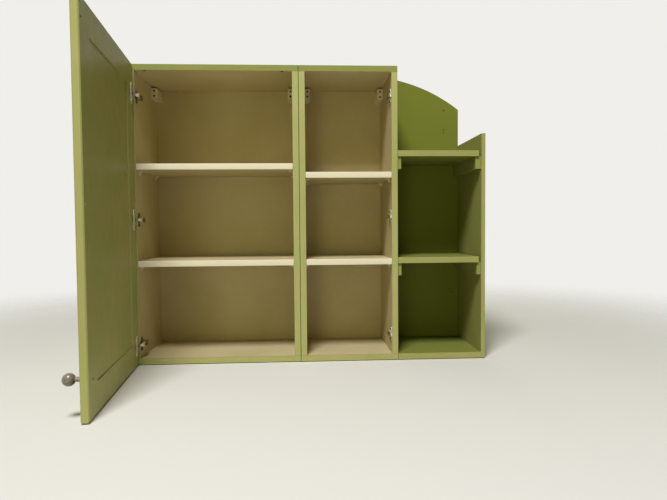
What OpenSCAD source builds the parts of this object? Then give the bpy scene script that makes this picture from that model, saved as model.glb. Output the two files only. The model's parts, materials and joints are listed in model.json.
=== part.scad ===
// Fitted wall cupboards: a left unit with an open framed door, a middle unit
// whose door is gone, and an open shelf bay with a curved back board.
// X runs along the wall, the wall is the plane Y = 0 and the fronts face -Y.
// The origin is the middle of the rear edge of the middle unit's left side.

/* [Units] */
// Height of both closed units
unit_h = 900; // [700:10:1100]
// Depth from the wall to the front edges of the units
unit_d = 280; // [220:5:400]
// Width of the left unit
left_w = 504; // [350:2:700]
// Width of the middle unit
middle_w = 300; // [220:10:500]
// Thickness of the unit boards and the shelves
board_t = 18; // [15:1:22]
// Gap between the left unit and the middle unit
unit_gap = 2; // [1:0.5:4]
// Thickness of the back panels
back_t = 4; // [3:0.5:8]
// Distance from the sides to the two old holes under the left unit's top
top_hole_in = 30; // [15:1:60]
// Distance from the front edge to the old holes
top_hole_setback = 7; // [5:1:40]
// Diameter of the old holes
top_hole_d = 5; // [3:0.5:8]
// Depth of the old holes
top_hole_deep = 8; // [3:1:12]
// Hollow behind the back panels, where the hooks reach the wall
back_void = 24; // [12:1:30]
// Depth of the grooves that hold the back panels
back_groove = 6; // [3:1:9]

/* [Shelves] */
// Top of the left unit's upper shelf above the unit's underside
left_upper_h = 606; // [480:1:700]
// Top of the left unit's lower shelf
left_lower_h = 314; // [200:1:420]
// Top of the middle unit's upper shelf
middle_upper_h = 580; // [480:1:700]
// Top of the middle unit's lower shelf
middle_lower_h = 314; // [200:1:420]
// How far the shelves stand back from the front edges
shelf_setback = 2; // [0:1:30]
// Side play of a shelf between the sides
shelf_play = 0.5; // [0.2:0.1:1]
// Reach of a shelf support out of the side
support_reach = 12; // [8:1:16]
// Width of a shelf support
support_w = 10; // [7:1:16]
// Height of a shelf support
support_h = 13; // [8:1:18]
// Thickness of a shelf support's tongue and foot
support_t = 2.5; // [1.5:0.5:3]
// Distance of the supports from the front and back edges of a shelf
support_inset = 36; // [20:1:60]

/* [Open bay] */
// Width of the bay between the middle unit and the side lining
bay_w = 261; // [180:1:400]
// Top of the bay's upper shelf above the units' underside
bay_upper_h = 645; // [540:1:680]
// Top of the bay's lower shelf
bay_lower_h = 317; // [200:1:420]
// Play between the bay's boards and the middle unit
bay_play = 1; // [0.5:0.5:2]
// Gap between the bay's shelves and the side lining
shelf_end_gap = 8; // [0.5:0.5:10]
// Height of the cleats under the bay's shelves
cleat_h = 38; // [20:1:50]
// Thickness of the left cleats
left_cleat_t = 12; // [8:1:20]
// Thickness of the lower right cleat
lower_right_cleat_t = 12; // [12:1:24]
// Thickness of the upper right cleat
upper_right_cleat_t = 17; // [12:1:24]
// How far the cleats stand back from the front edges
cleat_setback = 6; // [0:1:30]
// Thickness of the side lining board
lining_t = 12; // [9:1:20]
// Height of the side lining board
lining_h = 697; // [690:1:720]
// Thickness of the bay's back board
bay_back_t = 18; // [12:1:22]
// Heights of the screw holes in the back board, above its underside
back_hole_h = [743, 753, 821];
// Distance from the screw holes to the back board's right edge
back_hole_in = 51; // [20:1:80]
// Diameter of the screw holes
back_hole_d = 4; // [3:0.5:6]
// Depth of the screw holes
back_hole_deep = 5; // [2:1:10]
// Height of the back board at the middle unit
bay_back_left_h = 934; // [910:1:990]
// Height of the back board at the side lining
bay_back_right_h = 824; // [760:1:880]
// Radius of the curve along the top of the back board
arch_r = 560; // [400:10:900]

/* [Door] */
// Thickness of the door frame
door_t = 19; // [18:0.5:24]
// Reveal between the door and the outline of its unit
door_reveal = 1.5; // [1:0.5:3]
// Space between the closed door and the front edges
door_gap = 7.5; // [7.5:0.1:9]
// Width of the stiles
stile_w = 70; // [55:1:100]
// Width of the rails
rail_w = 70; // [50:1:100]
// Thickness of the door panel
door_panel_t = 7; // [5:0.5:8]
// Recess of the panel on the inner face
panel_recess = 3.5; // [3:0.5:6]
// Depth of the grooves that hold the door panel
door_groove = 8; // [5:1:12]
// Radius of the outer arrises of the door
arris_r = 5; // [2:0.5:6]
// Bevel of the inner arrises of the door
inner_bevel = 2.5; // [2.5:0.1:2.8]
// How far the door stands open
open_angle = 84.7; // [0:0.1:105]

/* [Knob] */
// Diameter of the knob's ball
knob_d = 29; // [20:1:40]
// Diameter of the knob's neck
knob_neck_d = 11; // [8:1:16]
// Distance from the door to the near side of the ball
knob_stand = 16; // [6:1:20]
// Distance of the knob from the free edge of the door
knob_inset = 34; // [28:1:45]
// Height of the knob above the bottom of the door
knob_h = 86; // [50:1:200]
// Diameter of the knob's foot on the door
knob_foot_d = 18; // [12:1:24]
// Thickness of the knob's foot
knob_foot_t = 2; // [1:0.5:4]
// Diameter of the screw through the door
knob_screw_d = 4; // [3:0.5:6]

/* [Hinges] */
// Height of the left unit's lowest hinge above its underside
left_hinge_low = 60; // [50:1:120]
// Middle hinge of the left unit, above or below the middle of the unit
left_hinge_mid = -12; // [-60:1:60]
// Distance from the left unit's highest hinge to its top
left_hinge_high = 92; // [60:1:140]
// Height of the middle unit's lowest hinge plate above its underside
middle_hinge_low = 77; // [50:1:120]
// Middle hinge plate of the middle unit, above or below the middle of the unit
middle_hinge_mid = -7; // [-60:1:60]
// Distance from the middle unit's highest hinge plate to its top
middle_hinge_high = 87; // [60:1:140]
// Diameter of the cup let into the door
cup_d = 35; // [35:0.5:37]
// Depth of the cup
cup_depth = 13; // [12:0.1:14]
// Distance from the door's hinge edge to the cup
cup_edge = 3; // [2.8:0.1:3.2]
// Wall of the cup
cup_wall = 0.8; // [0.6:0.1:1]
// Thickness of the flange on the door's inner face
flange_t = 1.2; // [0.8:0.1:1.5]
// Width of the flange
flange_w = 15; // [12:1:20]
// Distance between the flange's two screws
flange_screw_gap = 47; // [45:1:56]
// Radius of the hinge pin
pin_r = 1.2; // [1:0.05:1.3]
// Running clearance between the pin and the arm's knuckle
pin_clear = 0.05; // [0.02:0.01:0.1]
// Distance of the pin from the door's hinge edge
pin_in = 7.4; // [7.2:0.1:7.6]
// Depth of the pin behind the door's inner face
pin_deep = 7; // [6.8:0.1:7.2]
// Wall of the knuckle round the pin
knuckle_wall = 1; // [0.8:0.1:1]
// Reach of the arm's goose neck from the pin into the unit
neck_reach = 12; // [12:0.1:13]
// Thickness of the arm's steel
neck_t = 2; // [1.6:0.1:2]
// Width of the goose neck inside the cup
neck_w = 8; // [6:0.5:8]
// Width of the arm over its plate
arm_w = 14; // [13:0.5:16]
// Height of the arm above the unit's side
arm_rise = 12; // [11:0.5:16]
// Distance from the front edges to the mounting plate
plate_setback = 5; // [4:1:20]
// Length of the mounting plate's ridge
plate_l = 42; // [38:1:60]
// Height of the ridge above the unit's side
ridge_h = 9; // [6:0.5:9]
// Play between the ridge and the arm round it
ridge_play = 0.3; // [0:0.1:0.6]
// Distance from the front of the plate to the middle of its wings
wing_in = 13; // [9:1:20]
// Width of the mounting plate's wings
wing_w = 11; // [9:1:16]
// Thickness of the wings
wing_t = 2; // [1.5:0.5:3]
// Distance between the screws in the plate's wings
wing_screw_gap = 32; // [28:1:45]
// Length of the slot in the ridge
slot_l = 9; // [6:1:12]
// Width of the slot
slot_w = 4.5; // [3:0.5:6]
// Depth of the slot
slot_deep = 3; // [1:0.5:5]
// Diameter of the screw heads on the hinges
screw_d = 7; // [5:0.5:8]
// Height of the screw heads
screw_h = 1.6; // [1:0.1:2.5]

/* [Hangers] */
// Width of a hanger cover
hanger_w = 18; // [14:1:24]
// Length of a hanger cover from the back panel forwards
hanger_l = 65; // [40:1:80]
// Height of a hanger cover
hanger_h = 34; // [28:1:50]
// Space between a hanger cover and the top board
hanger_drop = 6; // [2:1:20]
// Bevel along the front of a hanger cover
hanger_bevel = 3; // [1:0.5:4]
// Diameter of the two screw openings in a hanger cover
hanger_hole_d = 6.5; // [4:0.5:7]
// Distance between the two screw openings
hanger_hole_gap = 17; // [10:1:20]
// Depth of the screw openings
hanger_hole_deep = 8; // [3:1:20]
// Width of the steel hook behind the cover
hook_w = 10; // [6:1:13]
// Thickness of the hook
hook_t = 3; // [2:0.5:4]
// Drop of the hook's tip
hook_drop = 22; // [12:1:30]
// Play between a hook and the notch in the back panel
notch_play = 3; // [1:0.5:5]

/* [Hidden] */
$fn = 48;

GREEN = [0.66, 0.67, 0.41];
CREAM = [0.90, 0.87, 0.78];
STEEL = [0.72, 0.71, 0.68];
PLASTIC = [0.88, 0.85, 0.75];
KNOB = [0.45, 0.42, 0.38];

base_z = -unit_h / 2;
middle_x = -board_t / 2;
left_x = middle_x - unit_gap - left_w;
bay_x = middle_x + middle_w;
lining_x = bay_x + bay_w;
panel_front = -back_void - back_t;
panel_play = 0.2;
past = 1;
hanger_top_z = base_z + unit_h - board_t - hanger_drop;
hook_top_z = hanger_top_z - (hanger_h - hook_drop - hook_t) / 2;
hook_reach = -panel_front - hook_t;

left_hinges = [left_hinge_low, unit_h / 2 + left_hinge_mid, unit_h - left_hinge_high];
middle_hinges = [middle_hinge_low, unit_h / 2 + middle_hinge_mid, unit_h - middle_hinge_high];

door_w = left_w - 2 * door_reveal;
door_h = unit_h - 2 * door_reveal;
door_bottom_z = base_z + door_reveal;
pin_x = left_x + door_reveal + pin_in;
pin_y = -unit_d - door_gap - pin_deep;

// A box from its low corner and its high corner
module box(low, high) {
    translate(low) cube(high - low);
}

// The space that a unit's back panel and its grooves take
module back_space(x, w, play) {
    inset = board_t - back_groove + play;
    box([x + inset, panel_front, base_z + inset],
        [x + w - inset, -back_void, base_z + unit_h - inset]);
}

// One side of a unit that stands at unit_x, with the groove for the back panel
module unit_side(unit_x, w, right) {
    side_x = right ? unit_x + w - board_t : unit_x;
    difference() {
        box([side_x, -unit_d, base_z], [side_x + board_t, 0, base_z + unit_h]);
        back_space(unit_x, w, 0);
    }
}

// The top or bottom board between the sides of a unit
module unit_end(unit_x, w, top) {
    low_z = top ? base_z + unit_h - board_t : base_z;
    difference() {
        box([unit_x + board_t, -unit_d, low_z], [unit_x + w - board_t, 0, low_z + board_t]);
        back_space(unit_x, w, 0);
    }
}

// The thin back panel, with an opening behind each hanger for its hook
module unit_back(unit_x, w) {
    hook_x = board_t + hanger_w / 2;
    difference() {
        back_space(unit_x, w, panel_play);
        for (x = [unit_x + hook_x, unit_x + w - hook_x])
            box([x - hook_w / 2 - notch_play, panel_front - past, hook_top_z - hook_drop - notch_play],
                [x + hook_w / 2 + notch_play, -back_void + past, hook_top_z + notch_play]);
    }
}

// A shelf whose top face is top_h above the unit's underside
module unit_shelf(unit_x, w, top_h) {
    side = board_t + shelf_play;
    box([unit_x + side, -unit_d + shelf_setback, base_z + top_h - board_t],
        [unit_x + w - side, panel_front - 1, base_z + top_h]);
}

// The four small brackets that carry one shelf
module shelf_supports(unit_x, w, top_h) {
    top_z = base_z + top_h - board_t;
    ys = [-unit_d + shelf_setback + support_inset, panel_front - support_inset];
    for (y = ys, right = [false, true])
        translate([right ? unit_x + w - board_t : unit_x + board_t, y + support_w / 2, top_z])
            turn_inwards(right)
                rotate([90, 0, 0])
                    linear_extrude(support_w) support_outline();
}

// A shelf support from the front: a tongue, a foot on the side and a hollow web
module support_outline() {
    hollow_r = min(support_reach, support_h) - support_t;
    difference() {
        translate([0, -support_h]) square([support_reach, support_h]);
        translate([support_t + hollow_r, -support_t - hollow_r]) circle(r = hollow_r);
        translate([support_t + hollow_r, -support_h - past])
            square([support_reach, past + support_h - support_t]);
        translate([support_t, -support_h - past])
            square([support_reach, past + support_h - support_t - hollow_r]);
    }
}

// Turns pieces drawn on a left side (inwards is +X) to a right side
module turn_inwards(right) {
    mirror([right ? 1 : 0, 0, 0]) children();
}

// Places children in both top rear corners of a unit, drawn for the left one
module at_hangers(unit_x, w) {
    for (right = [false, true])
        translate([right ? unit_x + w - board_t : unit_x + board_t, panel_front, hanger_top_z])
            turn_inwards(right) children();
}

// The two plastic covers in the top rear corners of a unit
module hanger_covers(unit_x, w) {
    at_hangers(unit_x, w)
        difference() {
            translate([0, 0, -hanger_h])
                linear_extrude(hanger_h)
                    polygon([[0, 0], [0, -hanger_l], [hanger_w - hanger_bevel, -hanger_l],
                             [hanger_w, hanger_bevel - hanger_l], [hanger_w, 0]]);
            for (side = [-1, 1])
                translate([hanger_w / 2, hanger_hole_deep - hanger_l, (side * hanger_hole_gap - hanger_h) / 2])
                    rotate([90, 0, 0]) cylinder(d = hanger_hole_d, h = hanger_hole_deep + past);
        }
}

// The steel hooks that reach from the covers through the back panel towards the wall
module hooks(unit_x, w) {
    at_hangers(unit_x, w)
        translate([(hanger_w - hook_w) / 2, 0, hook_top_z - hanger_top_z])
            rotate([90, 0, 90])
                linear_extrude(hook_w)
                    polygon([[0, 0], [0, -hook_t], [hook_reach - hook_t, -hook_t],
                             [hook_reach - hook_t, -hook_drop], [hook_reach, -hook_drop - hook_t],
                             [hook_reach, 0]]);
}

// A pan head standing on the plane Z = 0, with a cross recess
module screw_head() {
    recess_w = screw_d / 6;
    recess_l = screw_d * 0.6;
    difference() {
        cylinder(d = screw_d, h = screw_h);
        for (turn = [0, 90])
            rotate(turn)
                translate([-recess_l / 2, -recess_w / 2, screw_h / 2])
                    cube([recess_l, recess_w, screw_h]);
    }
}

// Mounting plate drawn on a left side: inwards is +X and its front edge is at Y = 0
module mounting_plate() {
    ridge_w = arm_w - 2 * neck_t - 2 * ridge_play;
    difference() {
        translate([0, 0, -ridge_w / 2])
            linear_extrude(ridge_w)
                polygon([[0, 0], [0, plate_l], [ridge_h / 2, plate_l], [ridge_h, plate_l - ridge_h / 2],
                         [ridge_h, ridge_h / 2], [ridge_h / 2, 0]]);
        box([ridge_h - slot_deep, wing_in - slot_l / 2, -slot_w / 2],
            [ridge_h + past, wing_in + slot_l / 2, slot_w / 2]);
    }
    translate([ridge_h, plate_l - ridge_h / 2 - screw_d, 0])
        rotate([0, 90, 0]) cylinder(d = screw_d - 1, h = (arm_rise - neck_t - ridge_h) / 2);
    rotate([90, 0, 90])
        linear_extrude(wing_t) {
            translate([wing_in - wing_w / 2, -wing_screw_gap / 2]) square([wing_w, wing_screw_gap]);
            for (side = [-1, 1])
                translate([wing_in, side * wing_screw_gap / 2]) circle(d = wing_w);
        }
    for (side = [-1, 1])
        translate([wing_t, wing_in, side * wing_screw_gap / 2])
            rotate([0, 90, 0]) screw_head();
}

// Hinge arm of bent steel: knuckle on the pin, goose neck, crank and channel on its plate
module hinge_arm(hinge_h) {
    // From here the X axis starts at the pin: the unit's side is at face_u, the arm's top at web_u
    face_u = left_x + board_t - pin_x;
    web_u = face_u + arm_rise;
    front_v = -unit_d + plate_setback - pin_y;
    back_v = front_v + plate_l;
    crank = arm_rise - neck_t;
    color(STEEL)
        translate([pin_x, pin_y, base_z + hinge_h]) {
            difference() {
                union() {
                    translate([0, 0, -neck_w / 2])
                        cylinder(r = pin_r + pin_clear + knuckle_wall, h = neck_w);
                    box([0, -neck_t / 2, -neck_w / 2], [neck_reach, neck_t / 2, neck_w / 2]);
                    translate([0, 0, -neck_w / 2])
                        linear_extrude(neck_w)
                            polygon([[neck_reach, -neck_t / 2], [neck_reach + neck_t, neck_t / 2],
                                     [neck_reach + neck_t, front_v - crank], [web_u, front_v],
                                     [web_u, front_v + neck_t], [web_u - neck_t, front_v + neck_t],
                                     [neck_reach, front_v - crank + neck_t]]);
                    box([web_u - neck_t, front_v, -arm_w / 2], [web_u, back_v, arm_w / 2]);
                    for (side = [-1, 1])
                        translate([0, 0, side * (arm_w - neck_t) / 2 - neck_t / 2])
                            linear_extrude(neck_t)
                                polygon([[web_u, front_v], [web_u, back_v],
                                         [web_u - neck_t, back_v], [face_u + wing_t, back_v - ridge_h],
                                         [face_u + wing_t, front_v + ridge_h / 2],
                                         [web_u - neck_t, front_v]]);
                    for (v = [front_v + wing_in, back_v - ridge_h / 2 - screw_d])
                        translate([web_u, v, 0]) rotate([0, 90, 0]) screw_head();
                    translate([face_u + ridge_h - past, back_v - ridge_h / 2 - screw_d, 0])
                        rotate([0, 90, 0])
                            cylinder(d = screw_d - 2, h = arm_rise - ridge_h);
                }
                translate([0, 0, -neck_w])
                    cylinder(r = pin_r + pin_clear, h = 2 * neck_w);
            }
            translate([face_u, front_v, 0]) mounting_plate();
        }
}

// Moves its children from the closed door's own axes to where the door stands
module on_door() {
    translate([pin_x, pin_y, door_bottom_z])
        rotate([0, 0, -open_angle])
            translate([-pin_in, pin_deep, 0])
                children();
}

// Section of the door across its thickness: rounded outside, bevelled inside
module edge_outline(length) {
    difference() {
        union() {
            translate([0, arris_r - door_t]) square([length, door_t - arris_r]);
            translate([arris_r, -door_t]) square([length - 2 * arris_r, door_t]);
            for (x = [arris_r, length - arris_r])
                translate([x, arris_r - door_t]) circle(r = arris_r);
        }
        for (x = [0, length])
            translate([x, 0]) rotate(45) square(inner_bevel * sqrt(2), center = true);
    }
}

// The door as one slab with all its arrises worked
module door_slab() {
    intersection() {
        linear_extrude(door_h) edge_outline(door_w);
        translate([door_w, 0, 0]) rotate([0, -90, 0]) linear_extrude(door_w) edge_outline(door_h);
    }
}

// The panel with its edges, which grow by reach into the grooves
module panel_space(reach) {
    box([stile_w - reach, -panel_recess - door_panel_t, rail_w - reach],
        [door_w - stile_w + reach, -panel_recess, door_h - rail_w + reach]);
}

// Groove along a stile, full length, for the panel and the rails' tongues
module stile_groove() {
    box([stile_w - door_groove, -panel_recess - door_panel_t, -past],
        [door_w - stile_w + door_groove, -panel_recess, door_h + past]);
}

module door_stile(lock) {
    from_x = lock ? door_w - stile_w : 0;
    difference() {
        intersection() {
            door_slab();
            box([from_x, -door_t - past, -past], [from_x + stile_w, past, door_h + past]);
        }
        stile_groove();
    }
}

module door_rail(top) {
    from_z = top ? door_h - rail_w : 0;
    difference() {
        intersection() {
            door_slab();
            union() {
                box([stile_w, -door_t - past, from_z], [door_w - stile_w, past, from_z + rail_w]);
                intersection() {
                    stile_groove();
                    box([0, -door_t, from_z], [door_w, 0, from_z + rail_w]);
                }
            }
        }
        panel_space(door_groove);
    }
}

// Cup let into the door, with its flange on the inner face and the hinge pin
module hinge_cup(hinge_h) {
    centre_u = cup_edge + cup_d / 2;
    inner_d = cup_d - 2 * cup_wall;
    pin_half = sqrt(pow((cup_d + inner_d) / 4, 2) - pow(centre_u - pin_in, 2));
    color(STEEL)
        on_door()
            translate([0, 0, hinge_h - door_reveal]) {
                difference() {
                    translate([centre_u, 0, 0])
                        rotate([90, 0, 0]) {
                            cylinder(d = cup_d, h = cup_depth);
                            translate([0, 0, -flange_t])
                                linear_extrude(flange_t) {
                                    square([flange_w, flange_screw_gap], center = true);
                                    for (side = [-1, 1])
                                        translate([0, side * flange_screw_gap / 2]) circle(d = flange_w);
                                }
                        }
                    translate([centre_u, flange_t + past, 0])
                        rotate([90, 0, 0])
                            cylinder(d = inner_d, h = cup_depth - cup_wall + flange_t + past);
                    box([cup_edge - past, -pin_deep + pin_r + 1, -neck_w / 2 - 1.5],
                        [pin_in, flange_t + past, neck_w / 2 + 1.5]);
                }
                for (side = [-1, 1])
                    translate([centre_u, flange_t, side * flange_screw_gap / 2])
                        rotate([-90, 0, 0]) screw_head();
                translate([pin_in, -pin_deep, -pin_half]) cylinder(r = pin_r, h = 2 * pin_half);
            }
}

module left_unit_left_side() { color(GREEN) unit_side(left_x, left_w, false); }
module left_unit_right_side() { color(GREEN) unit_side(left_x, left_w, true); }
module left_unit_top() {
    color(GREEN)
        difference() {
            unit_end(left_x, left_w, true);
            for (x = [left_x + board_t + top_hole_in, left_x + left_w - board_t - top_hole_in])
                translate([x, -unit_d + top_hole_setback, base_z + unit_h - board_t - past])
                    cylinder(d = top_hole_d, h = top_hole_deep + past);
        }
}
module left_unit_bottom() { color(GREEN) unit_end(left_x, left_w, false); }
module left_unit_back() { color(CREAM) unit_back(left_x, left_w); }
module left_unit_upper_shelf() { color(CREAM) unit_shelf(left_x, left_w, left_upper_h); }
module left_unit_lower_shelf() { color(CREAM) unit_shelf(left_x, left_w, left_lower_h); }
module left_unit_shelf_supports() {
    color(PLASTIC)
        for (h = [left_lower_h, left_upper_h])
            shelf_supports(left_x, left_w, h);
}
module left_unit_hanger_covers() { color(PLASTIC) hanger_covers(left_x, left_w); }
module hinge_arm_lower() { hinge_arm(left_hinges[0]); }
module hinge_arm_middle() { hinge_arm(left_hinges[1]); }
module hinge_arm_upper() { hinge_arm(left_hinges[2]); }

module middle_unit_left_side() { color(GREEN) unit_side(middle_x, middle_w, false); }
module middle_unit_right_side() { color(GREEN) unit_side(middle_x, middle_w, true); }
module middle_unit_top() { color(GREEN) unit_end(middle_x, middle_w, true); }
module middle_unit_bottom() { color(GREEN) unit_end(middle_x, middle_w, false); }
module middle_unit_back() { color(CREAM) unit_back(middle_x, middle_w); }
module middle_unit_upper_shelf() { color(CREAM) unit_shelf(middle_x, middle_w, middle_upper_h); }
module middle_unit_lower_shelf() { color(CREAM) unit_shelf(middle_x, middle_w, middle_lower_h); }
module middle_unit_shelf_supports() {
    color(PLASTIC)
        for (h = [middle_lower_h, middle_upper_h])
            shelf_supports(middle_x, middle_w, h);
}
module middle_unit_hanger_covers() { color(PLASTIC) hanger_covers(middle_x, middle_w); }
module hanging_hooks() {
    color(STEEL) {
        hooks(left_x, left_w);
        hooks(middle_x, middle_w);
    }
}

// Plate of the missing door's hinge on the middle unit's right side
module spare_hinge_plate(hinge_h) {
    color(STEEL)
        translate([bay_x - board_t, -unit_d + plate_setback, base_z + hinge_h])
            turn_inwards(true) mounting_plate();
}
module spare_hinge_plate_lower() { spare_hinge_plate(middle_hinges[0]); }
module spare_hinge_plate_middle() { spare_hinge_plate(middle_hinges[1]); }
module spare_hinge_plate_upper() { spare_hinge_plate(middle_hinges[2]); }

// Board behind the bay, its top cut to the curve of the ceiling
module bay_back_board() {
    rise = bay_back_left_h - bay_back_right_h;
    chord = sqrt(pow(bay_w, 2) + pow(rise, 2));
    sag = sqrt(pow(arch_r, 2) - pow(chord / 2, 2));
    centre_u = bay_w / 2 - sag * rise / chord;
    centre_h = (bay_back_left_h + bay_back_right_h) / 2 - sag * bay_w / chord;
    color(GREEN)
        translate([bay_x, 0, base_z])
            rotate([90, 0, 0])
                difference() {
                    linear_extrude(bay_back_t)
                        intersection() {
                            square([bay_w, bay_back_left_h]);
                            union() {
                                square([bay_w, bay_back_right_h]);
                                translate([centre_u, centre_h]) circle(r = arch_r, $fn = 180);
                            }
                        }
                    for (hole_h = back_hole_h)
                        translate([bay_w - back_hole_in, hole_h, bay_back_t - back_hole_deep])
                            cylinder(d = back_hole_d, h = back_hole_deep + past, $fn = 24);
                }
}

module bay_side_lining() {
    color(GREEN)
        box([lining_x, -unit_d, base_z], [lining_x + lining_t, 0, base_z + lining_h]);
}

// A board of the bay whose top face is top_h above the units' underside
module bay_board(top_h, end_gap) {
    color(GREEN)
        box([bay_x + bay_play, -unit_d, base_z + top_h - board_t],
            [lining_x - end_gap, -bay_back_t, base_z + top_h]);
}
module bay_upper_shelf() { bay_board(bay_upper_h, shelf_end_gap); }
module bay_lower_shelf() { bay_board(bay_lower_h, shelf_end_gap); }
module bay_bottom_board() { bay_board(board_t, 0); }

// The strip from low_x to high_x under the bay shelf whose top face is at top_h
module bay_cleat(low_x, high_x, top_h) {
    color(GREEN)
        box([low_x, -unit_d + cleat_setback, base_z + top_h - board_t - cleat_h],
            [high_x, -bay_back_t, base_z + top_h - board_t]);
}
module bay_left_cleats() {
    for (top_h = [bay_lower_h, bay_upper_h])
        bay_cleat(bay_x, bay_x + left_cleat_t, top_h);
}
module bay_right_cleats() {
    bay_cleat(lining_x - lower_right_cleat_t, lining_x, bay_lower_h);
    bay_cleat(lining_x - upper_right_cleat_t, lining_x, bay_upper_h);
}

module door_hinge_stile() {
    color(GREEN)
        on_door()
            difference() {
                door_stile(false);
                for (hinge_h = left_hinges)
                    translate([cup_edge + cup_d / 2, past, hinge_h - door_reveal])
                        rotate([90, 0, 0]) cylinder(d = cup_d, h = cup_depth + past);
            }
}
module door_lock_stile() {
    color(GREEN)
        on_door()
            difference() {
                door_stile(true);
                at_knob()
                    translate([0, 0, -door_t - past]) cylinder(d = knob_screw_d, h = door_t + 2 * past);
            }
}
module door_top_rail() { color(GREEN) on_door() door_rail(true); }
module door_bottom_rail() { color(GREEN) on_door() door_rail(false); }
module door_panel() { color(GREEN) on_door() panel_space(door_groove); }
module hinge_cup_lower() { hinge_cup(left_hinges[0]); }
module hinge_cup_middle() { hinge_cup(left_hinges[1]); }
module hinge_cup_upper() { hinge_cup(left_hinges[2]); }

// Places children on the knob's axis, with Z out of the door's outer face
module at_knob() {
    translate([door_w - knob_inset, -door_t, knob_h]) rotate([90, 0, 0]) children();
}

// Ball knob on the outer face of the lock stile, with the screw that holds it
module door_knob() {
    color(KNOB)
        on_door()
            at_knob() {
                cylinder(d = knob_foot_d, h = knob_foot_t);
                cylinder(d = knob_neck_d, h = knob_stand + knob_d / 4);
                translate([0, 0, knob_stand + knob_d / 2]) sphere(d = knob_d);
                translate([0, 0, -door_t]) cylinder(d = knob_screw_d, h = door_t + knob_foot_t);
                translate([0, 0, -door_t]) rotate([180, 0, 0]) screw_head();
            }
}

left_unit_left_side();
left_unit_right_side();
left_unit_top();
left_unit_bottom();
left_unit_back();
left_unit_upper_shelf();
left_unit_lower_shelf();
left_unit_shelf_supports();
left_unit_hanger_covers();
hinge_arm_lower();
hinge_arm_middle();
hinge_arm_upper();
middle_unit_left_side();
middle_unit_right_side();
middle_unit_top();
middle_unit_bottom();
middle_unit_back();
middle_unit_upper_shelf();
middle_unit_lower_shelf();
middle_unit_shelf_supports();
middle_unit_hanger_covers();
hanging_hooks();
spare_hinge_plate_lower();
spare_hinge_plate_middle();
spare_hinge_plate_upper();
bay_back_board();
bay_side_lining();
bay_upper_shelf();
bay_lower_shelf();
bay_bottom_board();
bay_left_cleats();
bay_right_cleats();
door_hinge_stile();
door_lock_stile();
door_top_rail();
door_bottom_rail();
door_panel();
door_knob();
hinge_cup_lower();
hinge_cup_middle();
hinge_cup_upper();
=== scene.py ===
"""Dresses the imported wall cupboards: paint, coated board, metal and small fittings.

Everything is in metres in the frame of the solids: X along the wall, Y into the
wall, Z up, with the origin at the rear edge of the middle unit's left side.
"""
import json
import math
import random

import bmesh
import bpy
from mathutils import Matrix, Vector


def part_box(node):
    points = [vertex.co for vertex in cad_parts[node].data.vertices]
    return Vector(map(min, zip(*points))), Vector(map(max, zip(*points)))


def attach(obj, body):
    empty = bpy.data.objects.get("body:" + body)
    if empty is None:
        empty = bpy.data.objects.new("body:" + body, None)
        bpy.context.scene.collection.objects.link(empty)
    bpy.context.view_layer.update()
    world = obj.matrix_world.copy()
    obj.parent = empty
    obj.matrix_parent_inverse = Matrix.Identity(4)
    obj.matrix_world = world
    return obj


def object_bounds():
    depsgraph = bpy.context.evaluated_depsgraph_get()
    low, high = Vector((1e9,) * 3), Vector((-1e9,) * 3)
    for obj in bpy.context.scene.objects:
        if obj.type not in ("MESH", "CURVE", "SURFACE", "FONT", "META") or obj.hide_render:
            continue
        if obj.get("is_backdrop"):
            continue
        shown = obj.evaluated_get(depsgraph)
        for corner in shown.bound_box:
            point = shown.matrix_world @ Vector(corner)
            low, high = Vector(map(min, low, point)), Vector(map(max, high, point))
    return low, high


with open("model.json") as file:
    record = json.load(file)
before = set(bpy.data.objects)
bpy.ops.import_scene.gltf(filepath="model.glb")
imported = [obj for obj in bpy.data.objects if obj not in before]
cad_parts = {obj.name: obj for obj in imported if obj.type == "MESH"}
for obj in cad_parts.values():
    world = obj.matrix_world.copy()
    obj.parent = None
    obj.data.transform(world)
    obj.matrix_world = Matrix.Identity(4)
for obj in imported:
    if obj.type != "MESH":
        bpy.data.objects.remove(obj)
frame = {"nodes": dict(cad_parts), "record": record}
cad_low, cad_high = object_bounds()
nodes = frame["nodes"]
scene = bpy.context.scene
random.seed(7)

MM = 0.001
cad_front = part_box("middle_unit_right_side")[0].y


def srgb(red, green, blue):
    """A linear colour from the three display values, 0 to 255."""
    def one(value):
        value /= 255
        return value / 12.92 if value <= 0.04045 else ((value + 0.055) / 1.055) ** 2.4
    return (one(red), one(green), one(blue), 1.0)


PAINT = srgb(176, 171, 110)
PAINT_FRESH = srgb(165, 171, 102)
PAINT_DEEP = srgb(152, 150, 82)
# Shaded green for painted shade, mixed into the bay's boards and the units' top boards.
PAINTED_SHADE_GREEN = srgb(118, 123, 48)
# Lighter green for thin paint and painted highlight on outer edges.
PAINT_THIN_AND_HIGHLIGHT = srgb(190, 182, 134)
# Dark olive for dirt and painted shade: stroke marks, board joints and inner corners.
PAINT_DIRT_AND_SHADE = srgb(78, 78, 26)
CREAM_EDGE = srgb(230, 219, 188)
CREAM = srgb(200, 185, 142)
CREAM_OLD = srgb(172, 158, 106)
# Dark cream for grime and painted shade in inner corners.
CREAM_GRIME_AND_SHADE = srgb(112, 98, 54)
# Near black for painted shade in the depths of holes.
HOLE_PAINTED_SHADE = srgb(22, 18, 8)
CHIP_RAW = srgb(172, 148, 110)
CHIP_DARK = srgb(142, 116, 80)
WORN_PAINT = srgb(202, 196, 150)
WORN_EDGE = srgb(206, 199, 158)
# Dark cream for grime and painted shade in the plastic's inner corners.
PLASTIC_GRIME_AND_SHADE = srgb(104, 88, 52)
STEEL_SHADOW = srgb(60, 50, 26)
# Dark brown for grime and painted shade in the steel's inner corners.
STEEL_GRIME_AND_SHADE = srgb(38, 30, 14)
STEEL_GLINT = srgb(226, 216, 188)


# Shader building

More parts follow.
